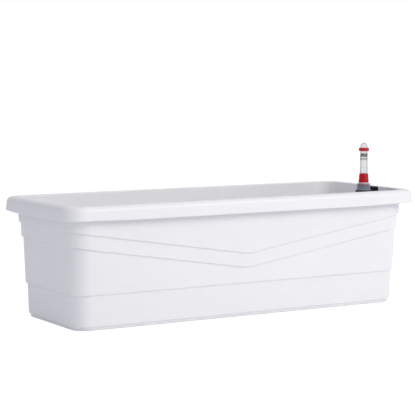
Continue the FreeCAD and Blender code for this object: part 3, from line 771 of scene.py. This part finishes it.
turned("gauge_cup", SMOKE, "gauge", "gauge_socket", seg=96, profile=[
    (8.3, 161.0, EDGE), (9.6, 161.0, EDGE), (9.6, 172.0, 0.1), (11.8, 172.0, EDGE),
    (11.8, 173.4, 0.45), (10.75, 173.9, 0.4), (10.6, 175.4, 0.6), (10.62, 181.9, 0.3),
    (10.75, 182.2, 0.2), (10.75, 182.9, 0.35), (9.2, 182.9, 0.4), (9.15, 182.0, 0.3),
    (9.1, 177.0, 0.8), (1.6, 177.0, EDGE), (1.6, 175.4, EDGE), (8.3, 175.4, 0.8),
])
turned("gauge_cone_red", RED, "gauge", "gauge_cone", seg=96, profile=[
    (6.5, 177.1, EDGE), (8.9, 177.1, 0.5), (8.9, 179.0, 0.3), (6.9, 179.6, 0.2),
    (6.9, 184.4, 0.2), (7.95, 184.7, 0.2), (7.95, 185.5, 0.3), (7.5, 189.9, 0.2),
    (7.08, 190.3, 0.15), (7.06, 190.9, 0.15), (7.4, 191.3, 0.2), (6.85, 197.5, 0.3),
    (6.65, 198.0, 0.15), (6.24, 198.0, 0.1), (6.42, 183.0, 0.3),
])
turned("gauge_neck_collar", NECK, "gauge", None, seg=96, profile=[
    (6.92, 181.6, 0.1), (7.6, 181.6, 0.2), (7.6, 184.5, 0.2), (6.92, 184.5, 0.1),
])
turned("gauge_tube_clear", CLEAR, "gauge", "gauge_tube", seg=96,
       profile=tube_profile())
turned("gauge_ring_red", RED, "gauge", "gauge_ring", seg=96, profile=[
    (5.80, 233.1, 0.15), (7.4, 233.1, 0.5), (8.0, 234.1, 0.6), (8.0, 236.9, 0.6),
    (7.4, 237.9, 0.5), (5.80, 237.9, 0.15),
])
print_marks("gauge_print_full_mark", INK, bottom=224.2, height=5.4, marks=[
    (-52, 2.0, 0), (-28, 1.7, 0.8), (-6, 1.7, -0.8), (18, 1.9, 0), (42, 1.8, 0.8), (62, 1.6, -0.8),
])
print_marks("gauge_print_small_mark", INK_GREY, bottom=219.4, height=3.2,
            marks=[(15 * k, 0.8, 0.0) for k in range(-4, 5)])
turned("float_rod", ROD, "float", "indicator_rod", seg=32, closed=False, profile=[
    (0, 31.0, 0), (1.2, 31.0, 0.25), (1.2, 192.0, 0.25), (0, 192.0, 0),
])
turned("float_pointer", RED, "float", "indicator_bead", seg=48, profile=[
    (1.22, 187.0, 0.1), (3.7, 187.0, 0.3), (4.1, 187.8, 0.4), (4.1, 194.6, 0.8),
    (3.5, 196.4, 1.2), (2.1, 197.2, 1.0), (0, 197.4, 0), (0, 192.1, 0), (1.22, 192.1, 0.1),
])
turned("float_can", FLOAT, "float", "float_body", seg=72, profile=[
    (0, 9.2, 0), (7.9, 9.2, 0.8), (8.9, 10.4, 0.8), (8.9, 20.6, 0.2), (8.6, 21.0, 0.2),
    (8.9, 21.4, 0.2), (8.9, 33.0, 0.2), (7.9, 33.0, 0.2), (7.9, 10.4, 0.8), (0, 10.4, 0),
])
turned("float_top", FLOAT, "float", "float_cap", seg=72, profile=[
    (1.22, 30.8, 0.1), (1.22, 36.5, 0.15), (3.0, 36.5, 0.4), (3.6, 34.4, 0.5),
    (8.9, 34.4, 0.5), (8.9, 33.05, 0.2), (7.8, 33.05, 0.1), (7.8, 31.0, 0.2),
    (6.7, 31.0, 0.2), (6.7, 33.05, 0.3), (3.2, 33.05, 0.3), (3.2, 29.5, 0.3),
    (0, 29.5, 0), (0, 30.8, 0),
])

# ---------------------------------------------------- filler tower cap and lid
CAP_TOP, CAP_PLATE = 172.0, 2.0
CAP_GROW, CAP_EDGE = 1.3, 0.5             # skirt outside the tower, and its top rounding
TOWER_WELL, TOWER_DUCT_HALF, TOWER_END = 11.2, 9.0, 20.6
MOUTH_LEFT, MOUTH_RIGHT, MOUTH_HALF = 12.6, 18.2, 7.0  # x from the gauge axis, half width
HINGE_X, HINGE_Z = GAUGE_X + 19.4, CAP_TOP + 2.8
LUG_NEAR, LUG_FAR = 8.6, 9.9              # faces of a lug, from the gauge axis along y
LUG_RADIUS, LUG_EDGE, LUG_BORE, LUG_DROP, LUG_SEG = 1.8, 0.22, 1.05, 3.0, 32
KNUCKLE = 2.6                             # radius of the lid's hinge end
LID_LOW, LID_HIGH = CAP_TOP + 0.2, CAP_TOP + 5.2
LID_HALF, LID_EDGE, LID_HOLLOW = 8.4, 0.6, 1.4
LID_LEFT, LID_CUP_RADIUS = GAUGE_X + 9.8, 12.6  # free end, hollowed round the gauge cup


def corner_points(cx, cy, radius, start, z, count):
    """Quarter circle of points, counter-clockwise from a start angle in degrees."""
    turns = [math.radians(start + 90.0 * i / count) for i in range(count + 1)]
    return [Vector((cx + radius * math.cos(t), cy + radius * math.sin(t), z)) * MM for t in turns]


def keyhole_loop(grow, z, corner):
    """Plan of the tower, grown outwards: round well at the left, square duct at the right."""
    well, half, end = TOWER_WELL + grow, TOWER_DUCT_HALF + grow, TOWER_END + grow
    count = 40
    first = math.asin(half / well)
    points = []
    for i in range(count + 1):
        t = first + (2 * math.pi - 2 * first) * i / count
        points.append(Vector((GAUGE_X + well * math.cos(t), GAUGE_Y + well * math.sin(t), z)) * MM)
    for side, start in ((-1, -90), (1, 0)):
        points += corner_points(GAUGE_X + end - corner, GAUGE_Y + side * (half - corner),
                                corner, start, z, 5)
    return points


def mouth_loop(grow, corner, z):
    """Rounded rectangle of the filling mouth."""
    left, right = GAUGE_X + MOUTH_LEFT - grow + corner, GAUGE_X + MOUTH_RIGHT + grow - corner
    reach = MOUTH_HALF + grow - corner
    points = []
    for cx, side, start in ((right, -1, -90), (right, 1, 0), (left, 1, 90), (left, -1, 180)):
        points += corner_points(cx, GAUGE_Y + side * reach, corner, start, z, 4)
    return points


def add_lug(bm, y0, y1):
    """Upright plate with a round head, a square foot and a hole for the hinge pin."""
    turns = [2 * math.pi * i / LUG_SEG for i in range(LUG_SEG)]
    rows = []
    for y, radius in ((y0, LUG_RADIUS - LUG_EDGE), (y0 + LUG_EDGE, LUG_RADIUS),
                      (y1 - LUG_EDGE, LUG_RADIUS), (y1, LUG_RADIUS - LUG_EDGE)):
        row = []
        for t in turns:
            x, z = math.cos(t), math.sin(t)
            if z >= 0:
                x, z = radius * x, radius * z
            else:
                square = 1.0 / max(abs(x), abs(z))
                x, z = radius * x * square, LUG_DROP * z * square
            row.append(Vector((HINGE_X + x, y, HINGE_Z + z)) * MM)
        rows.append(row)
    for y in (y1, y0):
        rows.append([Vector((HINGE_X + LUG_BORE * math.cos(t), y,
                             HINGE_Z + LUG_BORE * math.sin(t))) * MM for t in turns])
    skin(bm, rows, closed=True)


def build_cap():
    """Cap of the filler tower: a skirt round the tower's head, a round hole for the gauge,
    a filling mouth, and two lugs that carry the hinge pin."""
    bm = bmesh.new()
    edge_z = CAP_TOP - CAP_EDGE
    # (growth, z, corner radius) up the outside of the skirt
    rows = [(0.12, 160.9, 1.0), (0.5, 160.5, 1.2), (1.0, 160.5, 1.5),
            (CAP_GROW, 160.9, 1.6), (CAP_GROW, 163.0, 1.6), (CAP_GROW, edge_z, 1.6)]
    for degrees in (30, 60, 90):
        t = math.radians(degrees)
        rows.append((CAP_GROW - CAP_EDGE + CAP_EDGE * math.cos(t),
                     edge_z + CAP_EDGE * math.sin(t), 1.6))
    outer = skin(bm, [keyhole_loop(*row) for row in rows])
    inner = skin(bm, [keyhole_loop(0.12, z, 1.0) for z in (CAP_TOP - CAP_PLATE, 168.0, 164.0)])
    bridge(bm, inner[-1], outer[0])
    # gauge hole: (radius, depth below the top)
    hole_rows = ((10.05, 0.0), (9.88, 0.12), (9.8, 0.3), (9.8, 1.7), (9.95, CAP_PLATE))
    hole = skin(bm, [circle(GAUGE_X, GAUGE_Y, radius, CAP_TOP - depth)
                     for radius, depth in hole_rows])
    # mouth: (growth, corner radius, depth below the top)
    mouth_rows = ((0.2, 1.3, 0.0), (0.0, 1.2, 0.25), (0.0, 1.2, 1.8), (0.1, 1.25, CAP_PLATE))
    mouth = skin(bm, [mouth_loop(grow, corner, CAP_TOP - depth)
                      for grow, corner, depth in mouth_rows])
    flat_with_holes(bm, outer[-1], [hole[0], mouth[0]])
    flat_with_holes(bm, inner[0], [hole[-1], mouth[-1]])
    add_lug(bm, GAUGE_Y + LUG_NEAR, GAUGE_Y + LUG_FAR)
    add_lug(bm, GAUGE_Y - LUG_FAR, GAUGE_Y - LUG_NEAR)
    bmesh.ops.recalc_face_normals(bm, faces=bm.faces)
    return bm


def lid_slice(y):
    """Outline (x, z) of one lengthwise slice of the lid, y from its middle: from under the
    free end, round the hinge end and back over the top."""
    side_gap = LID_HALF - abs(y)
    drop = 0.0
    if side_gap < LID_EDGE:
        rise = LID_EDGE * LID_EDGE - (LID_EDGE - side_gap) ** 2
        drop = LID_EDGE - math.sqrt(max(0.0, rise))
    left = max(LID_LEFT, GAUGE_X + math.sqrt(LID_CUP_RADIUS * LID_CUP_RADIUS - y * y))
    right = HINGE_X + KNUCKLE
    top = LID_HIGH - drop
    roof = LID_HIGH - LID_HOLLOW if abs(y) < 7.21 else LID_LOW
    points = [(left + 0.25, LID_LOW), (left + 1.3, LID_LOW), (left + 1.36, roof),
              (HINGE_X - KNUCKLE - 0.46, roof), (HINGE_X - KNUCKLE - 0.4, LID_LOW),
              (HINGE_X - 1.5, LID_LOW)]
    points += arc(HINGE_X, LID_LOW + KNUCKLE, KNUCKLE, -90, 0, 8)
    points += arc(right - LID_EDGE, top - LID_EDGE, LID_EDGE, 0, 90, 4)
    points += [(HINGE_X - 1.0, top), (GAUGE_X + 16.6, top), (left + 1.2, top)]
    points += arc(left + 0.45, top - 0.45, 0.45, 90, 180, 4)
    points.append((left, LID_LOW + 0.25))
    return points


def build_lid():
    """Block that closes the filling mouth: hollowed round the gauge cup at its free end,
    rounded at the hinge end, hollow underneath, with two thumb ridges on top."""
    bm = bmesh.new()
    margins = (0.0, 0.05, 0.15, 0.3, LID_EDGE)
    count = 28
    inside = LID_HALF - LID_EDGE
    ys = [side * (LID_HALF - margin) for side in (-1, 1) for margin in margins]
    ys += [-inside + 2 * inside * i / count for i in range(1, count)]
    # slices on either side of the hollow's side walls
    ys = [y for y in ys if abs(abs(y) - 7.23) > 0.12] + [-7.26, -7.2, 7.2, 7.26]
    skin_capped(bm, [[Vector((x, GAUGE_Y + y, z)) * MM for x, z in lid_slice(y)]
                     for y in sorted(ys)])
    seg = 10
    for x in (GAUGE_X + 14.5, GAUGE_X + 15.9):
        rows = []
        # (y, share of the full ridge section)
        for y, share in ((-5.0, 0.35), (-4.85, 0.75), (-4.4, 1.0),
                         (4.4, 1.0), (4.85, 0.75), (5.0, 0.35)):
            turns = [2 * math.pi * i / seg for i in range(seg)]
            rows.append([Vector((x + 0.32 * share * math.cos(t), GAUGE_Y + y,
                                 LID_HIGH - 0.02 + 0.38 * share * math.sin(t))) * MM
                         for t in turns])
        skin_capped(bm, rows)
    bmesh.ops.recalc_face_normals(bm, faces=bm.faces)
    return bm


make_piece("tower_cap_shell", build_cap(), BLACK, "floor_right", "tower_cap")
make_piece("filler_lid_block", build_lid(), BLACK, "filler_lid", "filler_lid")

# ------------------------------------------------------- CAD nodes that stay
# (node, material, bevel width)
for name, material, width in (
    ("drain_plug", WHITE, 0.35), ("drain_plug_seal", SEAL, 0),
    ("false_floor_left", GREY, 0.3), ("false_floor_right", GREY, 0.3),
    ("soil_basket_1", GREY, 0.3), ("soil_basket_2", GREY, 0.3),
    ("soil_basket_3", GREY, 0.3), ("soil_basket_4", GREY, 0.3),
    ("filler_tower", BLACK, 0.25), ("lid_hinge_pin", PIN, 0.15),
):
    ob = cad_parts[name]
    ob.data.materials.clear()
    ob.data.materials.append(material)
    if width:
        bevel = ob.modifiers.new("rounded_edges", "BEVEL")
        bevel.width = width * MM
        bevel.segments = 2
        bevel.limit_method = "ANGLE"
        bevel.angle_limit = math.radians(50)
        bevel.use_clamp_overlap = True
        bevel.harden_normals = False
        bevel.miter_outer = "MITER_ARC"

# ------------------------------------------------------------ studio, in metres
AMBIENT = 0.536
AMBIENT_X, AMBIENT_Z = 0.20, 0.16  # share gained towards +X and +Z
FLOOR_SHADE = 0.2                  # what the camera sees: diffuse part, which takes shadows,
FLOOR_GLOW = 0.94                  # glow near the planter,
FLOOR_FAR_GLOW = 1.05              # and glow far away
FLOOR_FADE = (0.7, 1.8)            # distances over which near turns to far
FLOOR_BOUNCE = 0.15                # extra light the floor throws on the planter
WHITE_LIGHT = (1.0, 1.0, 1.0)


def floor_material():
    """The camera sees a nearly white floor; other rays see a diffuse one with some glow."""
    material = bpy.data.materials.new("studio_floor_white")
    g = Graph(material)
    diffuse = g.add("BsdfDiffuse", {"Color": (0.86, 0.86, 0.87)})
    bounce = g.add("Emission", {"Color": (0.88, 0.93, 1.0), "Strength": FLOOR_BOUNCE})
    lighting = g.add("AddShader", {0: diffuse, 1: bounce})
    shaded = g.add("BsdfDiffuse", {"Color": (FLOOR_SHADE,) * 3})
    glow = g.add("Emission", {"Color": WHITE_LIGHT, "Strength": FLOOR_GLOW})
    near = g.add("AddShader", {0: shaded, 1: glow})
    far = g.add("Emission", {"Color": WHITE_LIGHT, "Strength": FLOOR_FAR_GLOW})
    position = g.add("NewGeometry", output="Position")
    distance = g.add("VectorMath", {0: position}, output="Value", operation="LENGTH")
    fade = g.remap(distance, FLOOR_FADE, (0.0, 1.0))
    seen = g.add("MixShader", {0: fade, 1: near, 2: far})
    camera_ray = g.add("LightPath", output="Is Camera Ray")
    surface = g.add("MixShader", {0: camera_ray, 1: lighting, 2: seen})
    g.node("OutputMaterial", {"Surface": surface})
    return material


def add_floor():
    bm = bmesh.new()
    bmesh.ops.create_grid(bm, x_segments=2, y_segments=2, size=30.0)
    mesh = bpy.data.meshes.new("studio_floor")
    bm.to_mesh(mesh)
    bm.free()
    floor = place("studio_floor", mesh)
    mesh.materials.append(floor_material())
    floor.location = (0, 0, -0.0002)


def add_world():
    """White to the camera; ambient light a little weaker from the left, stronger from above."""
    world = bpy.data.worlds.new("studio")
    scene.world = world
    g = Graph(world)
    direction = g.node("SeparateXYZ", {0: g.add("TexCoord", output="Generated")}).outputs
    gain = g.math("ADD", g.math("MULTIPLY", direction["X"], AMBIENT_X * AMBIENT),
                  g.math("MULTIPLY", direction["Z"], AMBIENT_Z * AMBIENT))
    ambient = g.add("Background", {"Color": (0.925, 0.93, 1.0),
                                   "Strength": g.math("ADD", gain, AMBIENT)})
    seen = g.add("Background", {"Color": WHITE_LIGHT, "Strength": 1.0})
    camera_ray = g.add("LightPath", output="Is Camera Ray")
    surface = g.add("MixShader", {0: camera_ray, 1: ambient, 2: seen})
    g.node("OutputWorld", {"Surface": surface})


def softbox(name, location, size, watts, colour=WHITE_LIGHT, target=(0, 0, 0.1)):
    light = bpy.data.lights.new(name, "AREA")
    light.shape = "RECTANGLE"
    light.size, light.size_y = size
    light.energy = watts
    light.color = colour
    ob = place(name, light)
    ob.location = location
    ob.rotation_mode = "QUATERNION"
    ob.rotation_quaternion = (Vector(target) - Vector(location)).to_track_quat("-Z", "Y")


def add_camera(yaw, pitch, distance, aim_z, shift_left, shift_down, lens):
    """Camera that looks towards +Y turned by yaw to +X and pitched down, angles in radians."""
    forward = Vector((math.sin(yaw) * math.cos(pitch), math.cos(yaw) * math.cos(pitch),
                      -math.sin(pitch)))
    right = Vector((math.cos(yaw), -math.sin(yaw), 0.0))
    up = right.cross(forward)
    data = bpy.data.cameras.new("camera")
    data.sensor_width = 36.0
    data.lens = lens
    camera = place("camera", data)
    position = Vector((0, 0, aim_z)) - forward * distance - right * shift_left - up * shift_down
    turn = Matrix((right, up, -forward)).transposed()
    camera.matrix_world = Matrix.Translation(position) @ turn.to_4x4()
    scene.camera = camera


add_floor()
add_world()
softbox("key_right", location=(0.75, -1.85, 1.3), size=(1.4, 1.0), watts=18.4,
        colour=(1.0, 0.983, 0.88))
softbox("top", location=(0.1, 0.1, 1.9), size=(1.8, 1.2), watts=2.5)

scene.view_settings.view_transform = "Standard"
scene.view_settings.look = "None"
scene.view_settings.exposure = 0.0
scene.view_settings.gamma = 1.0

add_camera(yaw=0.53836, pitch=0.09315, distance=2.30522, aim_z=0.1535,
           shift_left=0.010407, shift_down=0.000965, lens=132.816)
